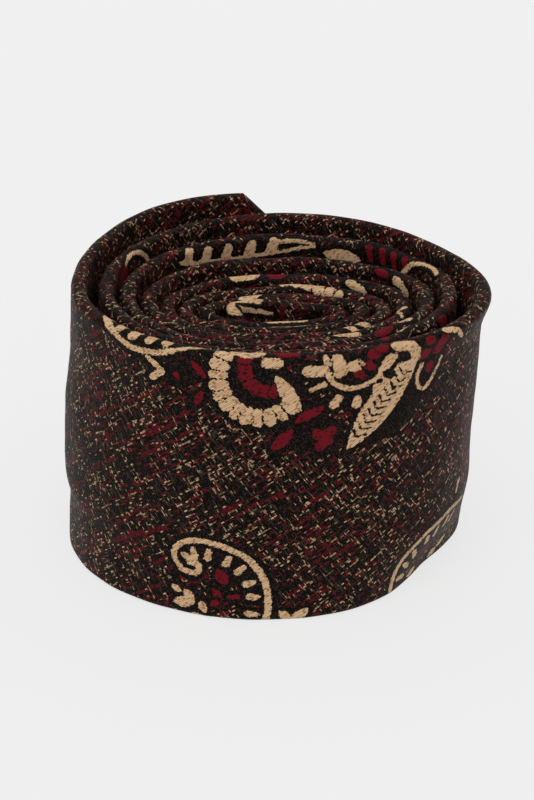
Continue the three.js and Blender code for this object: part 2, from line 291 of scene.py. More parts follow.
def shell_ring(s, columns):
    """Across, outwards and the unfolded cloth's own coordinate for closed rings at distances s."""
    s = s[:, None]
    h = half(s)
    k = np.minimum(1, h / HEM)
    reach = flap_reach(s, h)
    angles = np.linspace(-math.pi / 2, math.pi / 2, 11)[None, :]
    fold_top, fold_low = h - TOP_FOLD * k, h - LOWER_FOLD * k
    t = np.linspace(0, 1, columns)[None, :]
    few = np.linspace(0, 1, 9)[None, :]
    many = np.linspace(0, 1, 26)[None, :]
    near = np.maximum(-reach, fold_top - 15 * k)
    low_in, top_in, front_in = LOWER_FLAP + CLOTH, UPPER_FLAP + CLOTH, FRONT - CLOTH

    def flat(v, n):
        return v, n + 0 * v

    bottom_v, bottom_n = arc(h, LOWER_FOLD * k, LOWER_FLAP, FRONT, angles[:, ::-1])
    bottom_in_v, bottom_in_n = arc(h - CLOTH * k, (LOWER_FOLD - CLOTH) * k, low_in, front_in, angles)
    parts = [
        flat(-reach + (near + reach) * few[:, :-1], UPPER_FLAP),
        flat(near + (fold_top - near) * many[:, :-1], UPPER_FLAP),
        arc(h, TOP_FOLD * k, UPPER_FLAP, FRONT, angles),
        flat(fold_top - (fold_top + fold_low) * t[:, 1:-1], FRONT),
        (-bottom_v, bottom_n),
        flat(-fold_low + (reach + fold_low) * few[:, 1:], LOWER_FLAP),
    ]
    outer = sum(v.shape[1] for v, _ in parts)
    parts += [
        flat(reach - (reach + fold_low) * few[:, :-1], low_in),
        (-bottom_in_v, bottom_in_n),
        flat(-fold_low + (fold_top + fold_low) * many[:, 1:-1], front_in),
        arc(h - CLOTH * k, (TOP_FOLD - CLOTH) * k, top_in, front_in, angles[:, ::-1]),
        flat(fold_top - (fold_top + reach) * few[:, 1:], top_in),
    ]
    v = np.concatenate([v + 0 * s for v, _ in parts], 1)
    n = np.concatenate([n + 0 * s for _, n in parts], 1)
    run = np.cumsum(np.hypot(np.diff(v[:, :outer]), np.diff(n[:, :outer])), 1)
    run = np.concatenate([0 * s, run], 1)
    front = sum(part.shape[1] for part, _ in parts[:3]) - 1
    unfolded = fold_top + run[:, front:front + 1] - run
    return v, n, np.concatenate([unfolded, v[:, outer:]], 1), outer


def shell(name, node, low, high, columns, material, fine, coarse):
    """One piece of the folded cloth, thinner at the tie's points and rounded at the piecing seams."""
    s = stations(low, high, fine, coarse)
    v, n, across, outer = shell_ring(s, columns)
    along = np.broadcast_to(s[:, None], v.shape)
    ends = np.minimum(along, LENGTH - along)
    n = n * (0.62 + 0.38 * smooth(ends, 0, 14))
    for cut in (low, high):
        if 1 < cut < LENGTH - 1:
            n = n - 0.35 * bell(along, cut, 0.7) * (n > 0)
    piece = mesh_piece(name, [node], place(along, v, n), loft_faces(*v.shape), material,
                       np.stack([along, across], -1), "jacquard")
    return piece


# ---- the woven figures, drawn in millimetres on the cloth laid flat ----
HALO = 1.3  # the plain black left round a figure


def line_and_side(points, count):
    """Even points along a curve, and the unit direction off it to one side at each."""
    line = through(points, count)[1]
    step = np.gradient(line, axis=0)
    step /= np.linalg.norm(step, axis=1)[:, None]
    return line, np.stack([-step[:, 1], step[:, 0]], 1)


def even_places(first, last, count):
    """Whole numbers spread evenly from first to last."""
    return np.linspace(first, last, count).round().astype(int)


class Figures:
    """How far each point of the cloth lies outside the cream, the red and the plain black figures."""

    def __init__(self, s, w):
        self.s, self.w = s, w
        self.far = {kind: np.full(s.shape, 50.0) for kind in ("cream", "red", "plain")}

    def near(self, points, room):
        low, high = np.min(points, 0) - room, np.max(points, 0) + room
        along = (self.s > low[0]) & (self.s < high[0])
        across = (self.w > low[1]) & (self.w < high[1])
        return np.flatnonzero(along & across)

    def draw(self, kind, at, distance, halo=HALO):
        """Adds a shape to one thread, and the plain black that the weaver leaves round it."""
        if kind == "plain":
            for other in ("cream", "red"):
                self.far[other][at] = np.maximum(self.far[other][at], -distance)
        else:
            self.far[kind][at] = np.minimum(self.far[kind][at], distance)
        self.far["plain"][at] = np.minimum(self.far["plain"][at], distance - halo)

    def stroke(self, kind, points, start, end=None, halo=HALO):
        """A line through points, start thick at one end and end thick at the other."""
        end = start if end is None else end
        if len(points) > 2:
            points = through(points, 8 * len(points))[1]
        points = np.array(points, float)
        radii = np.linspace(start, end, len(points)) / 2
        at = self.near(points, max(start, end) / 2 + halo + 1.5)
        x, y = self.s[at], self.w[at]
        distance = np.full(x.shape, 50.0)
        for (x0, y0), (x1, y1), r0, r1 in zip(points[:-1], points[1:], radii[:-1], radii[1:]):
            dx, dy = x1 - x0, y1 - y0
            t = np.clip(((x - x0) * dx + (y - y0) * dy) / (dx * dx + dy * dy), 0, 1)
            off_line = np.hypot(x - x0 - t * dx, y - y0 - t * dy)
            distance = np.minimum(distance, off_line - (r0 + (r1 - r0) * t))
        self.draw(kind, at, distance, halo)

    def leaf(self, kind, root, tip, thick, halo=HALO):
        """A pointed oval from root to tip."""
        root, tip = np.array(root, float), np.array(tip, float)
        long = np.linalg.norm(tip - root)
        at = self.near([root, tip], thick + halo + 1.5)
        x, y = self.s[at] - root[0], self.w[at] - root[1]
        ux, uy = (tip - root) / long
        t, side = (x * ux + y * uy) / long, np.abs(y * ux - x * uy)
        body = thick / 2 * np.clip(4 * t * (1 - t), 0, 1) ** 0.8
        ends = np.maximum(-t, t - 1) * long
        self.draw(kind, at, np.where(ends > 0, np.hypot(ends, side), side - body), halo)

    def petals(self, kind, points, long, thick, count, inwards, halo=HALO):
        """Short blocks set side by side along a line, cut apart from the side they face away from."""
        line, side = line_and_side(points, 60)
        side = side * inwards
        for i in even_places(2, 57, count):
            self.stroke(kind, [line[i] - side[i] * long, line[i] + side[i] * long], thick, thick * 0.75, halo)
        for i in even_places(2, 57, 2 * count - 1)[1::2]:
            self.stroke("plain", [line[i] - side[i] * (long + thick), line[i] + side[i] * long * 0.4], 0.42,
                        halo=0)

    def field(self):
        return np.stack([self.far[kind] for kind in ("cream", "red", "plain")], -1)


def crescent(f):
    """The toothed crescent that folds over the upper edge on the left."""
    f.stroke("cream", [(138, 43), (140.6, 40.4), (144.6, 38), (149, 36.2), (153, 34.8), (157, 34.3),
                       (161, 34.8), (165, 35.6), (170.6, 38), (177, 40.4)], 2.1, 1)
    for s, w in ((144.4, 41.4), (149.4, 39), (154.8, 38.2), (159.9, 38.6), (164.8, 39)):
        f.stroke("cream", [(s, w - 0.6), (s + 0.5, w + 2.4)], 2.9, 3.1)


def round_flower(f):
    """A scalloped ring, open to the upper edge, with a red heart and a leaf across its mouth."""
    ring = [(180.6, 38.4), (179.3, 33), (179.9, 28.4), (183, 23.8), (187.8, 21.2), (193, 21.8), (197.2, 25)]
    f.stroke("plain", [(185.2, 37), (184.8, 31), (188, 26.8), (193.6, 28)], 9.4)
    f.petals("cream", ring, 1.15, 3.1, 12, 1)
    f.petals("red", [(185.4, 36.8), (186, 32), (188.6, 28.8), (193, 28.2)], 0.8, 2.4, 7, 1)
    f.stroke("cream", [(182.4, 38.9), (186, 37.9), (189.4, 38.7)], 2)
    f.leaf("cream", (192.8, 32.4), (199.4, 22.4), 3.6)
    f.stroke("cream", [(190.6, 35.8), (193.2, 35.6)], 2.8)
    f.stroke("red", [(193.4, 38.6), (197.6, 38.2)], 2.2)


def lace_flower(f):
    """A half ring of knots and teeth beside the big leaf, with red inside."""
    f.stroke("cream", [(204.7, 37), (205.1, 33), (207.3, 29.4), (211.4, 27.8), (215.6, 28.4), (219.4, 30.8),
                       (222.6, 34.6)], 1.3)
    f.stroke("cream", [(200.6, 33.4), (203.2, 33.2)], 3)
    f.stroke("cream", [(207.4, 35.6), (208.2, 33)], 3.8)
    f.stroke("plain", [(206, 36), (206.6, 32)], 0.5, halo=0)
    f.stroke("cream", [(211.4, 33.8), (212.8, 34)], 3)
    f.stroke("cream", [(201.6, 28.2), (204.6, 29.6)], 1.2, 1.6)
    for s, w, lean in ((208.4, 25.2, 1), (213.2, 24.4, 0.1)):
        f.stroke("cream", [(s - lean, w - 1.2), (s, w + 0.3)], 2.6, 2)
    f.stroke("cream", [(218.2, 25.4), (218, 27)], 2)
    f.petals("red", [(213.4, 31), (215.8, 33.2), (216.8, 36.2)], 0.8, 2.4, 3, -1)
    f.stroke("red", [(216.4, 36.8), (219.8, 37.6)], 2.2)


def big_leaf(f):
    """A long leaf hanging from the upper edge, its veins picked out in black."""
    f.stroke("cream", [(223, 37.4), (227, 36.2), (228.6, 32.6)], 3)
    f.stroke("cream", [(221, 34.4), (219.4, 31), (221.6, 28.4)], 2.6)
    f.leaf("plain", (235.4, 29), (216, 11), 8, halo=0.6)
    f.leaf("cream", (229.8, 35.4), (211.4, 10.8), 8.4)
    spine = [(228, 33), (224.4, 27.8), (220.4, 23), (216.8, 18.2), (213.2, 13.2)]
    for s, w in ((225.2, 33.6), (221.2, 30)):
        f.leaf("plain", (s - 2, w + 0.9), (s + 2, w - 0.9), 2.8, halo=0)
    line = through(spine, 60)[1]
    for i in range(10, 56, 5):
        s, w = line[i]
        f.stroke("plain", [(s - 0.6, w - 0.6), (s - 1.5, w + 1.7)], 0.6, halo=0)
        f.stroke("plain", [(s - 0.6, w - 0.6), (s + 2, w - 0.5)], 0.6, halo=0)


def small_figures(f):
    """Sprigs, buds and curls that fill the ground between the big figures."""
    f.stroke("cream", [(160.4, 33), (162.6, 31.8), (164.4, 30.4)], 1.4)
    f.stroke("cream", [(164.4, 30.4), (162, 28.2)], 1.9)
    f.stroke("plain", [(168.6, 30.6), (169.8, 30.6)], 5.4, halo=1)
    f.stroke("plain", [(197, 15.6), (203, 19)], 5)
    f.stroke("red", [(168.2, 30.6), (168.8, 29.9)], 1.4, halo=0.5)
    for root, tip, thick, halo in (((172.2, 35), (176.2, 30.6), 2, HALO),
                                   ((173.8, 23), (175.4, 27.2), 2, HALO),
                                   ((197.6, 19.6), (205.2, 23.6), 2.6, 2.4),
                                   ((192.8, 11.8), (197.8, 17.8), 3, HALO)):
        f.leaf("red", root, tip, thick, halo)
    for tip in ((202.8, 17.4), (208.2, 17.8), (207.8, 13.4), (204.3, 11)):
        f.leaf("red", (204.8, 14.4), tip, 3, halo=2)
    f.stroke("cream", [(231, 30), (230, 27), (230.8, 23.9), (232.8, 22.9), (234.8, 24.8), (236.8, 27.8),
                       (237.8, 30.4)], 1.3, 0.9)
    for root, tip in (((233.8, 30.4), (233.6, 27)), ((229.2, 32.2), (233.4, 33.4)),
                      ((233.8, 32.6), (238, 33.9)), ((235.6, 35), (239.4, 35.6)),
                      ((231, 36), (234.6, 36.6))):
        f.leaf("red", root, tip, 2.8)
    f.stroke("cream", [(239.2, 37.6), (242.6, 36.2), (245.4, 33.2)], 2.2, 0.9)
    f.stroke("cream", [(253.8, -12.4), (252.6, -15)], 1.9, 1)


def hook(f, points, thick, teeth, long, side=-1):
    """A curled stem with blocks set along its inner side."""
    f.stroke("cream", points, thick, thick * 1.15)
    line, inwards = line_and_side(points, 80)
    inwards = inwards * side
    for i in even_places(14, 74, teeth):
        f.stroke("cream", [line[i] + inwards[i] * thick * 1.7, line[i] + inwards[i] * long], 1.5, 2)


def lower_hooks(f):
    """The curled stem at the front's foot and the one at the right."""
    f.stroke("cream", [(173.8, -21.6), (175.4, -21.6), (176.2, -23.2), (175.2, -24.8)], 2, 1.6)
    hook(f, [(175.2, -24.8), (171.6, -24), (169.4, -20.2), (171.2, -16.6), (175.6, -14.9), (181, -15.4),
             (187, -17.8), (190.8, -21.6), (193.4, -27.4), (193.9, -33), (193.2, -39)], 1.5, 8, 4.6)
    for root, tip, thick in (((180.8, -22.6), (183.4, -27), 3.2), ((179.8, -28.4), (182.2, -31), 2),
                             ((183.4, -30.6), (187.4, -30.2), 1.4), ((179.4, -33.6), (181.8, -32), 1.8)):
        f.leaf("red", root, tip, thick)
    for root, tip, thick in (((168.8, -29.6), (171.8, -31), 2), ((172.4, -30), (175.2, -33), 2.4),
                             ((169.4, -34.4), (175.6, -33.2), 3), ((176.8, -32.6), (178.4, -36), 2.2),
                             ((172.8, -38.6), (177.8, -37), 2.6), ((180.4, -37), (181.4, -40), 2.6),
                             ((196.8, -34.5), (200.2, -38), 2.6), ((199.8, -37.6), (204.2, -34), 2.6)):
        f.leaf("cream", root, tip, thick)
    hook(f, [(262, -21.8), (256, -20), (250.4, -18.9), (245, -19.6), (239.6, -20.6), (235.4, -23.4),
             (231.4, -26.6), (229.3, -30.6), (228.6, -35.6)], 1.4, 7, 4.8, side=1)
    for root, tip in (((253.6, -33.6), (258.4, -31.6)), ((249.8, -35), (254, -34)),
                      ((237, -35.4), (241.6, -34))):
        f.leaf("cream", root, tip, 2)
    f.leaf("red", (238.6, -29.4), (246.6, -27.6), 2)


def ladder(f, points, teeth, long, thick):
    """A row of blocks standing on a thin stem."""
    f.stroke("cream", points, 1.3, 1)
    line = through(points, 60)[1]
    for i in even_places(4, 41, teeth):
        s, w = line[i]
        f.stroke("cream", [(s, w - thick / 3), (s - 0.7, w - long)], thick, thick * 0.9)


def inner_figures(f):
    """What shows on the back flaps and edges of the inner turns."""
    ladder(f, [(665, 32.2), (656, 34.2), (647, 34.8), (639, 34.6), (631, 33.6), (623.6, 32)], 5, 3.4, 3.1)
    f.stroke("cream", [(633.4, 31), (629, 30.8), (623.6, 31.4)], 1.3, 0.8)
    f.leaf("cream", (621, 33.8), (609, 35), 4)
    f.stroke("cream", [(594, 35), (590.5, 31.6), (584, 30), (578, 31)], 1.8, 1.2)
    for s in (607, 602.6, 598.4, 594):
        f.stroke("red", [(s, 31), (s - 1.2, 34.4)], 2.2, 1.4)
    f.stroke("cream", [(413, 36.6), (408, 35.6), (403.4, 36.8), (399.4, 40.4), (398.6, 44), (402, 46.4)], 1.3)
    f.leaf("red", (411, 38), (419, 42), 6)
    f.stroke("cream", [(1063, 21.2), (1058, 20.8)], 3.6)
    f.leaf("red", (1054.6, 21.4), (1048.6, 21), 3)
    f.stroke("cream", [(1045.4, 18.8), (1043, 18.6)], 2.6)
    f.leaf("red", (1039.4, 19), (1035, 19), 3)
    f.stroke("cream", [(1031, 22.4), (1026.4, 24.4)], 2.4)
    f.petals("cream", [(1200, 20.6), (1195, 21.2), (1190, 22.8), (1183.4, 24.8)], 0.9, 3, 6, 1)
    f.leaf("cream", (1330, 24), (1323, 22), 4)
    f.stroke("cream", [(1420, 22.2), (1409, 24.6)], 3, 2)
    f.stroke("cream", [(1417, 26.4), (1405.6, 28.4)], 1.8, 1)
    for s in (1262, 1362):
        f.stroke("cream", [(s, 24.2), (s + 5, 24.2)], 2.2)
        f.stroke("cream", [(s + 7, 24), (s + 9.6, 24.2)], 1.8)
    f.leaf("red", (1358, 24.6), (1350, 25), 2.4)
    f.stroke("cream", [(829, 26), (826, 26.8), (823.2, 28.6)], 2.6, 2.2)
    f.leaf("red", (837, 24.4), (831.6, 25.6), 2.4)
    f.stroke("cream", [(1005, 20.4), (1002.2, 22), (999.4, 19.4)], 1.3)
    f.stroke("cream", [(793, 24.4), (789.6, 25.4)], 2)
    f.leaf("red", (786, 24), (779.6, 23.4), 3)
    f.stroke("cream", [(538, 33), (533, 31.8)], 1.6)
    for s, w in ((528, 31.4), (523.6, 32.2), (519, 33)):
        f.leaf("red", (s, w - 1.6), (s - 1.6, w + 2.2), 3)
    for s in (1153.4, 1149.4):
        f.stroke("cream", [(s, 19.8), (s - 1.6, 23)], 2)
    f.stroke("cream", [(983, 19.4), (977.6, 21)], 2)
    f.leaf("red", (551, 26.4), (546, 28.6), 3)


def motif_field(s, w):
    f = Figures(s, w)
    crescent(f)
    round_flower(f)
    lace_flower(f)
    big_leaf(f)
    small_figures(f)
    lower_hooks(f)
    inner_figures(f)
    return f.field()


# ---- materials ----
class Nodes:
    """A material's node graph, built by calls that return their first output."""

    def __init__(self, name):
        self.material = bpy.data.materials.new(name)
        self.material.use_nodes = True
        self.tree = self.material.node_tree
        self.shader = self.tree.nodes["Principled BSDF"]

    def add(self, kind, inputs=(), output=0, **settings):
        node = self.tree.nodes.new(kind)
        for key, value in settings.items():
            setattr(node, key, value)
        for key, value in dict(inputs).items():
            self.put(node.inputs[key], value)
        return node.outputs[output]

    def put(self, socket, value):
        if isinstance(value, bpy.types.NodeSocket):
            self.tree.links.new(value, socket)
        else:
            socket.default_value = value

    def math(self, operation, *values):
        return self.add("ShaderNodeMath", enumerate(values), operation=operation)

    def mix(self, factor, a, b):
        return self.add("ShaderNodeMix", {0: factor, 6: a, 7: b}, output=2, data_type="RGBA")

    def ramp(self, value, low, high, to_low=0.0, to_high=1.0):
        return self.add("ShaderNodeMapRange", enumerate((value, low, high, to_low, to_high)),
                        interpolation_type="SMOOTHSTEP")

    def chance(self, x, y, seed):
        """An even random number for each whole pair x, y."""
        at = self.add("ShaderNodeCombineXYZ", {0: x, 1: y, 2: float(seed)})
        return self.add("ShaderNodeTexWhiteNoise", {"Vector": at}, noise_dimensions="3D")

    def noise(self, at, scale, detail=2.0):
        return self.add("ShaderNodeTexNoise", {"Vector": at, "Scale": scale, "Detail": detail})

    def parts(self, vector):
        """The three numbers of a vector."""
        split = self.add("ShaderNodeSeparateXYZ", {0: vector}).node
        return split.outputs[0], split.outputs[1], split.outputs[2]

    def attribute(self, name):
        return self.add("ShaderNodeAttribute", output="Vector", attribute_name=name)

    def bump(self, height, distance, strength=0.6):
        return self.add("ShaderNodeBump", {"Height": height, "Distance": distance, "Strength": strength})

    def finish(self, **sockets):
        for name, value in sockets.items():
            self.put(self.shader.inputs[name.replace("_", " ")], value)
        return self.material


def srgb(r, g, b):
    """A screen colour as the renderer's own linear numbers."""
    return (*(c / 12.92 / 255 if c < 10.3 else ((c / 255 + 0.055) / 1.055) ** 2.4 for c in (r, g, b)), 1)


# The second colour here is a painted highlight: grey dots on the crowns of the black threads.
BLACK, BLACK_THREAD_GLINT = srgb(6, 4, 3), srgb(58, 42, 35)
CREAM, BEIGE, OCHRE = srgb(226, 192, 152), srgb(198, 160, 120), srgb(104, 76, 52)
# The second red here is painted shade, laid on the sides of each raised red float.
RED, RED_FLOAT_SHADE = srgb(112, 16, 28), srgb(44, 6, 11)
WEFT_ANGLE = math.radians(35.5)
ROW, COLUMN = 0.5, 0.3


def cloth_axes(g):
    """The cloth's own place turned onto its bias: along a weft thread and across it, in millimetres."""
    uv = g.add("ShaderNodeUVMap", uv_map="cloth")
    turned = g.add("ShaderNodeVectorRotate", {"Vector": uv, "Angle": -WEFT_ANGLE}, rotation_type="Z_AXIS")
    return g.add("ShaderNodeVectorMath", {"Vector": turned, "Scale": 1 / MM}, operation="SCALE")


def floats(g, along, across, length, pitch, seed):
    """Threads that surface now and then: each one's random number and how far it stands up, 0 to 1."""
    row_at = g.math("DIVIDE", across, pitch)
    row = g.math("FLOOR", row_at)
    shift = g.chance(row, 0.0, seed)
    cell_at = g.math("ADD", g.math("DIVIDE", along, length), shift)
    cell = g.math("FLOOR", cell_at)
    number = g.chance(cell, row, seed + 1)
    side = g.math("SUBTRACT", g.math("FRACT", row_at), 0.5)
    end = g.math("SUBTRACT", g.math("FRACT", cell_at), 0.5)
    round_side = g.math("SUBTRACT", 1.0, g.math("MULTIPLY", g.math("MULTIPLY", side, side), 3.6))
    round_end = g.ramp(g.math("ABSOLUTE", end), 0.36, 0.5, 1.0, 0.0)
    return number, g.math("MULTIPLY", round_side, round_end)


def streaks(g, along, across, wide, length, seed):
    """A density from 0 to 1 that runs in bands `length` long and `wide` across, along the threads."""
    at = g.add("ShaderNodeCombineXYZ", {0: g.math("DIVIDE", along, length), 1: g.math("DIVIDE", across, wide),
                                        2: float(seed)})
    return g.ramp(g.noise(at, 1.0, 1.0), 0.46, 0.68)


def jacquard():
    g = Nodes("silk_jacquard")
    at = cloth_axes(g)
    p, q, _ = g.parts(at)
    cloud = g.ramp(g.noise(at, 0.055), 0.32, 0.68)
    to_cream, to_red, to_plain = g.parts(g.attribute("motif"))
    cell = g.chance(g.math("FLOOR", g.math("DIVIDE", p, 0.5)), g.math("FLOOR", g.math("DIVIDE", q, ROW)), 31)
    jitter = g.math("MULTIPLY", g.math("SUBTRACT", cell, 0.5), 0.4)
    in_cream = g.ramp(g.math("ADD", to_cream, jitter), -0.06, 0.06, 1.0, 0.0)
    in_red = g.ramp(g.math("ADD", to_red, jitter), -0.06, 0.06, 1.0, 0.0)
    ground = g.ramp(to_plain, -0.1, 0.3)

    weft = floats(g, p, q, 1.7, ROW, 3)
    pale = floats(g, p, q, 0.95, ROW, 7)
    speck = floats(g, q, p, 1.0, COLUMN, 41)
    warp = floats(g, q, p, 2.1, COLUMN, 11)
    dots = floats(g, q, p, 0.45, COLUMN, 17)
    line = floats(g, p, q, 4.6, 0.42, 23)
    along_weft = streaks(g, p, q, 1.5, 22.0, 5)
    along_pale = streaks(g, p, q, 0.8, 14.0, 6)
    along_warp = streaks(g, q, p, 0.8, 12.0, 9)

    def shown(strand, base, more, by):
        share = g.math("MULTIPLY", g.math("MULTIPLY_ADD", by, more, base), ground)
        return g.math("MULTIPLY", g.math("LESS_THAN", strand[0], share), strand[1])

    weft_up = shown(weft, 0.07, 0.62, g.math("MULTIPLY", along_weft, g.math("ADD", cloud, 0.4)))
    pale_up = shown(pale, 0.012, 0.3, g.math("MULTIPLY", along_pale, g.math("SUBTRACT", 1.2, cloud)))
    speck_up = shown(speck, 0.004, 0.16, along_warp)
    warp_up = shown(warp, 0.03, 0.3, along_warp)
    tone = g.chance(g.math("FLOOR", g.math("DIVIDE", p, 0.9)), g.math("FLOOR", g.math("DIVIDE", q, ROW)), 53)
    pale_colour = g.mix(tone, OCHRE, srgb(206, 172, 134))
    # Painted light and shade on each red float: plain red at its raised crown, the darker painted-shade red
    # down its sides.
    red = g.mix(weft[1], RED_FLOAT_SHADE, g.mix(tone, srgb(80, 10, 20), RED))
    # Painted highlight: grey dots on the black ground, brightest at each dot's raised crown.
    colour = g.mix(g.math("MULTIPLY", dots[1], g.ramp(dots[0], 0.5, 1.0, 0.0, 0.9)), BLACK, BLACK_THREAD_GLINT)
    colour = g.mix(g.math("MULTIPLY", warp_up, 0.5), colour, srgb(84, 70, 58))
    colour = g.mix(weft_up, colour, red)
    colour = g.mix(speck_up, colour, pale_colour)
    colour = g.mix(pale_up, colour, pale_colour)
    # In the figures, each satin line gets painted light and shade: cream or red at its raised middle, the
    # darker brown and darker red down its sides as painted shade.
    cream = g.mix(line[1], srgb(138, 104, 74), g.mix(line[0], BEIGE, CREAM))
    colour = g.mix(in_red, colour, g.mix(line[1], srgb(62, 8, 15), RED))
    colour = g.mix(in_cream, colour, cream)

    raised = g.math("MAXIMUM", g.math("MULTIPLY", dots[1], 0.5), g.math("MAXIMUM", weft_up, pale_up))
    figure = g.math("MULTIPLY", g.math("MAXIMUM", in_cream, in_red), g.math("ADD", line[1], 0.3))
    normal = g.bump(g.math("MAXIMUM", raised, figure), 0.00016)
    return g.finish(Base_Color=colour, Normal=normal, Roughness=0.5, Specular_IOR_Level=0.05,
                    Sheen_Weight=0.02, Sheen_Roughness=0.3, Sheen_Tint=srgb(215, 200, 190))


def felt():
    """Brushed wool, napped in every direction."""
    g = Nodes("brushed_wool")
    at = cloth_axes(g)
    nap = g.noise(at, 2.2, 4.0)
    colour = g.mix(g.ramp(nap, 0.3, 0.7), srgb(196, 190, 176), srgb(232, 228, 218))
    return g.finish(Base_Color=colour, Normal=g.bump(nap, 0.0003), Roughness=0.95, Sheen_Weight=0.3,
                    Specular_IOR_Level=0.1)


def satin_lining():
    """Plain black lining with a fine twill line, each float with a painted highlight on its crown and painted
    shade at its sides.
    """
    g = Nodes("satin_lining")
    p, q, _ = g.parts(cloth_axes(g))
    line = floats(g, p, q, 1.6, 0.3, 61)
    # The darkest colour is painted shade at the sides of each twill float; the two lighter ones, picked at
    # random, lie on its crown as a painted highlight.
    colour = g.mix(line[1], srgb(9, 9, 10), g.mix(line[0], srgb(22, 21, 23), srgb(34, 32, 35)))
    return g.finish(Base_Color=colour, Normal=g.bump(line[1], 0.0001), Roughness=0.38, Specular_IOR_Level=0.4)


def label_ribbon():
    """A blank black label, ribbed like a woven ribbon, with a painted highlight on each rib and painted shade
    between them.
    """
    g = Nodes("label_ribbon")
    uv = g.add("ShaderNodeUVMap", uv_map="cloth")
    in_mm = g.add("ShaderNodeVectorMath", {"Vector": uv, "Scale": 1 / MM}, operation="SCALE")
    s, v, _ = g.parts(in_mm)
    rib = floats(g, s, v, 0.7, 0.24, 71)
    # The darkest colour is painted shade between the ribs; the two lighter ones, picked at random, lie on the
    # rib crowns as a painted highlight.
    colour = g.mix(rib[1], srgb(12, 11, 12), g.mix(rib[0], srgb(30, 27, 29), srgb(44, 40, 42)))
    return g.finish(Base_Color=colour, Normal=g.bump(rib[1], 0.00012), Roughness=0.42, Specular_IOR_Level=0.4)


def twisted_silk():
    """Dark red sewing silk, with painted shade where its plies meet and a painted highlight on their crowns.
    """
    g = Nodes("twisted_silk")
    uv = g.add("ShaderNodeUVMap", uv_map="cloth")
    in_mm = g.add("ShaderNodeVectorMath", {"Vector": uv, "Scale": 1 / MM}, operation="SCALE")
    run, round_it, _ = g.parts(in_mm)
    phase = g.math("SUBTRACT", round_it, g.math("MULTIPLY", run, 2 * math.pi / 1.4))
    ply = g.math("ABSOLUTE", g.math("COSINE", phase))
    # Painted shade where the plies meet, and a painted highlight on their crowns.
    colour = g.mix(ply, srgb(30, 8, 12), srgb(92, 22, 34))
    return g.finish(Base_Color=colour, Normal=g.bump(ply, 0.00006), Roughness=0.4, Specular_IOR_Level=0.45)


# ---- flat layers and what is sewn on ----
def slab(name, node, along, reach, near, thick, material, slot, step=1.5, columns=40):
    """A flat layer from near outwards by thick; reach(s) gives its two edges across the tie."""
    s = np.linspace(*along, max(8, round((along[1] - along[0]) / step)))[:, None]
    low, high = (edge + 0 * s for edge in reach(s))
    t = np.linspace(0, 1, columns)[None, :]
    v = low + (high - low) * np.concatenate([t, t[:, ::-1]], 1)
    side = np.concatenate([0 * t, 0 * t + 1], 1)
    edge = smooth(np.minimum(v - low, high - v), 0, 0.5)
    n = near(s, v) + thick * (0.5 + (side - 0.5) * (0.4 + 0.6 * edge))
    along_all = np.broadcast_to(s, v.shape)
    piece = mesh_piece(name, [node], place(along_all, v, n), loft_faces(*v.shape), material,
                       np.stack([along_all, v], -1), slot)
    return piece


def inner_layers(wool, satin):
    def level(n):
        return lambda s, v: n + 0 * v

    def between_folds(room):
        return lambda s: (room - half(s), half(s) - room - 0.2)

    slab("wool_interlining", "interlining", (INTERLINING_END, LENGTH - INTERLINING_END),
         between_folds(FOLD_ROOM), level(INTERLINING[0]), INTERLINING[1] - INTERLINING[0], wool,
         "interlining")
    for name, node, along in (
            ("blade_lining", "front_tipping", (TIPPING_END, BLADE_TIPPING)),
            ("tail_lining", "tail_tipping", (LENGTH - TAIL_TIPPING, LENGTH - TIPPING_END))):
        slab(name, node, along, between_folds(FOLD_ROOM + 0.2), level(TIPPING[0]),
             TIPPING[1] - TIPPING[0], satin, "lining")


def back_pieces(silk, label):
    """The keeper loop, bowed off the back, and the two blank labels."""
    keeper_reach = KEEPER["reach"]

    def bowed(s, v):
        return UPPER_FLAP - 0.9 - KEEPER["rise"] * (1 - (v / keeper_reach) ** 4)

    def on_back(s, v):
        return UPPER_FLAP - 0.62 - 0.12 * ripple(s, v, 8, 3.0)

    slab("keeper_band", "keeper_loop", KEEPER["along"], lambda s: (-keeper_reach, keeper_reach), bowed, 0.6,
         silk, "jacquard", step=0.5, columns=60)
    slab("blank_label", "woven_label", LABEL["along"], lambda s: (-LABEL["reach"], LABEL["reach"]), on_back,
         0.3, label, "label", step=0.6)
    slab("blank_care_label", "care_label", CARE_LABEL["along"],
         lambda s: (-CARE_LABEL["reach"], CARE_LABEL["reach"]), on_back, 0.3, label, "label", step=0.6)


# ---- threads ----
def thread(name, node, path, material, radius=0.2, pitch=1.4):
    """A two-ply thread along a path of (along, across, outwards)."""
    path = np.asarray(path, float)
    run = np.concatenate([[0], np.cumsum(np.linalg.norm(np.diff(path, axis=0), axis=1))])
    count = int(run[-1] / 0.22) if run[-1] < 200 else int(run[-1] / 0.45)
    even = np.linspace(0, run[-1], max(count, 8))
    path = np.stack([np.interp(even, run, path[:, k]) for k in range(3)], 1)
    step = np.gradient(path, axis=0)
    step /= np.linalg.norm(step, axis=1)[:, None]
    side = np.cross(step, (0, 0, 1))
    side /= np.maximum(np.linalg.norm(side, axis=1), 1e-6)[:, None]
    over = np.cross(step, side)
    angle = np.arange(8) * math.pi / 4
    ply = radius * (1 + 0.25 * np.cos(2 * (angle[None, :] - 2 * math.pi * even[:, None] / pitch)))
    points = (path[:, None] + ply[..., None] * (np.cos(angle)[None, :, None] * side[:, None]
                                                + np.sin(angle)[None, :, None] * over[:, None]))
    uv = np.stack(np.broadcast_arrays(even[:, None], angle[None, :]), -1)
    return mesh_piece(name, [node], place(points[..., 0], points[..., 1], points[..., 2]),
                      loft_faces(len(even), 8), material, uv, "thread")


def wave(t, length):
    return np.cos(2 * math.pi * t / length)


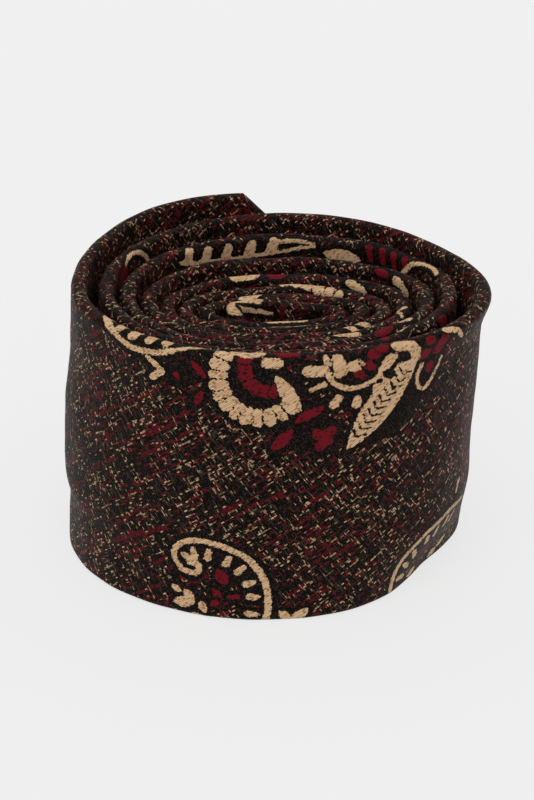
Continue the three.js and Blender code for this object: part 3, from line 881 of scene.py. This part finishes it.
def threads(silk_thread):
    s = np.arange(SLIP_STITCH["from_blade"], LENGTH - SLIP_STITCH["from_tail"], 0.4)
    thread("back_slip_stitch", "slip_stitch",
           np.stack([s, -OVERLAP - 0.35 + 0.25 * wave(s, 5.5), LOWER_FLAP - 0.2 - 0.15 * wave(s, 5.5)], 1),
           silk_thread)
    for name, node, at in (("blade_seam_thread", "front_seam_stitch", BLADE_SEAM),
                           ("tail_seam_thread", "tail_seam_stitch", NECK_SEAM)):
        reach = width(at) / 2 - 2.5
        v = np.arange(-reach, reach, 0.15)
        thread(name, node, np.stack([at + 0.45 * wave(v, 2.2), v, FRONT - 0.42 + 0 * v], 1), silk_thread)
    for name, node, reach, corner, way in (
            ("blade_lining_thread", "front_tipping_stitch", TIPPING_STITCH_REACH["blade"], TIPPING_STITCH, 1),
            ("tail_lining_thread", "tail_tipping_stitch", TIPPING_STITCH_REACH["tail"],
             LENGTH - TIPPING_STITCH, -1)):
        v = np.arange(-reach, reach + 0.1, 0.2)
        path = np.stack([corner + way * np.abs(v), v, TIPPING[0] - 0.25 + 0.2 * wave(v, 3)], 1)
        thread(name, node, path, silk_thread)
    for name, node, s in (("blade_bar_tack", "front_bar_tack", BAR_TACK["from_blade"]),
                          ("end_bar_tack", "tail_bar_tack", LENGTH - BAR_TACK["from_tail"])):
        v = np.arange(-OVERLAP - BAR_TACK["beyond"], OVERLAP + BAR_TACK["beyond"], 0.05)
        thread(name, node, np.stack([s + 0.6 + 0.6 * wave(v, 0.7), v, UPPER_FLAP - 0.35 + 0 * v], 1),
               silk_thread)


def patch_threads(silk_thread):
    """The rows of stitches that hold the keeper and the labels."""
    def row(name, node, s0, s1, v, n):
        s = np.arange(s0, s1, 0.15)
        path = np.stack([s, v + 0 * s, n + 0.15 * wave(s - s0, 2.4)], 1)
        thread(name, node, path, silk_thread, radius=0.16)

    k0, k1 = KEEPER["along"]
    l0, l1 = LABEL["along"]
    for name, t in (("upper", 0.93), ("lower", -0.93)):
        rise = KEEPER["rise"] * (1 - t ** 4)
        row("keeper_thread_" + name, "keeper_stitch_" + name, k0 + 1.5, k1 - 1.5, t * KEEPER["reach"],
            UPPER_FLAP - 1.05 - rise)
    for name, side in (("upper", 1), ("lower", -1)):
        row("label_thread_" + name, "woven_label_stitch_" + name, l0 + 1, l1 - 1,
            side * (LABEL["reach"] - 1.4), UPPER_FLAP - 0.72)
    c0, reach = CARE_LABEL["along"][0], CARE_LABEL["reach"] - 1
    v = np.arange(-reach, reach, 0.15)
    path = np.stack([c0 + 1.2 + 0 * v, v, UPPER_FLAP - 0.72 + 0.15 * wave(v, 2.4)], 1)
    thread("care_thread", "care_label_stitch", path, silk_thread, radius=0.16)


# ---- the stage ----
def floor():
    """A pale table that glows a little, so that shadows on it stay faint."""
    g = Nodes("pale_floor")
    g.finish(Base_Color=(FLOOR_TONE, FLOOR_TONE, FLOOR_TONE, 1), Roughness=0.9, Specular_IOR_Level=0.1,
             Emission_Color=(1, 1, 1, 1), Emission_Strength=FLOOR_GLOW)
    mesh = bpy.data.meshes.new("floor")
    size = FLOOR_SIZE
    corners = [(-size, -size, 0), (size, -size, 0), (size, size, 0), (-size, size, 0)]
    mesh.from_pydata(corners, [], [(0, 1, 2, 3)])
    mesh.materials.append(g.material)
    plane = bpy.data.objects.new("floor", mesh)
    bpy.context.collection.objects.link(plane)


def sun(name, energy, spread, tilt, turn):
    """A soft even light from a height of 90 - tilt degrees, turned about the vertical from the front."""
    lamp = bpy.data.lights.new(name, "SUN")
    lamp.energy = energy
    lamp.angle = math.radians(spread)
    lit = bpy.data.objects.new(name, lamp)
    lit.rotation_euler = (math.radians(tilt), 0, math.radians(turn))
    bpy.context.collection.objects.link(lit)


def light():
    world = bpy.data.worlds.new("studio")
    bpy.context.scene.world = world
    world.use_nodes = True
    sky = world.node_tree.nodes["Background"].inputs
    sky["Color"].default_value = (1, 1, 1, 1)
    sky["Strength"].default_value = SKY
    sun("overhead", energy=1.2, spread=90, tilt=0, turn=0)
    sun("front", energy=0.9, spread=60, tilt=48, turn=-12)
    bpy.context.scene.view_settings.view_transform = "Standard"


def camera():
    data = bpy.data.cameras.new("camera")
    data.sensor_fit = "VERTICAL"
    data.sensor_height = SENSOR
    data.lens = LENS
    view = bpy.data.objects.new("camera", data)
    e = math.radians(CAMERA_ELEVATION)
    back = np.array([0, -math.cos(e), math.sin(e)])
    view.location = Vector((SHIFT + AIM + CAMERA_DISTANCE * back) * MM)
    view.rotation_euler = (math.pi / 2 - e, 0, 0)
    bpy.context.collection.objects.link(view)
    bpy.context.scene.camera = view


# ---- the object ----
camera()
light()
floor()
silk = jacquard()
sewing_silk = twisted_silk()
shell("blade_cloth", "front_blade_shell", SHELL_END, BLADE_SEAM - SEAM_GAP / 2, 130, silk, 0.55, 0.9)
shell("neck_cloth", "neck_shell", BLADE_SEAM + SEAM_GAP / 2, NECK_SEAM - SEAM_GAP / 2, 70, silk, 0.9, 0.9)
shell("tail_cloth", "tail_shell", NECK_SEAM + SEAM_GAP / 2, LENGTH - SHELL_END, 70, silk, 0.9, 0.9)
inner_layers(felt(), satin_lining())
back_pieces(silk, label_ribbon())
threads(sewing_silk)
patch_threads(sewing_silk)
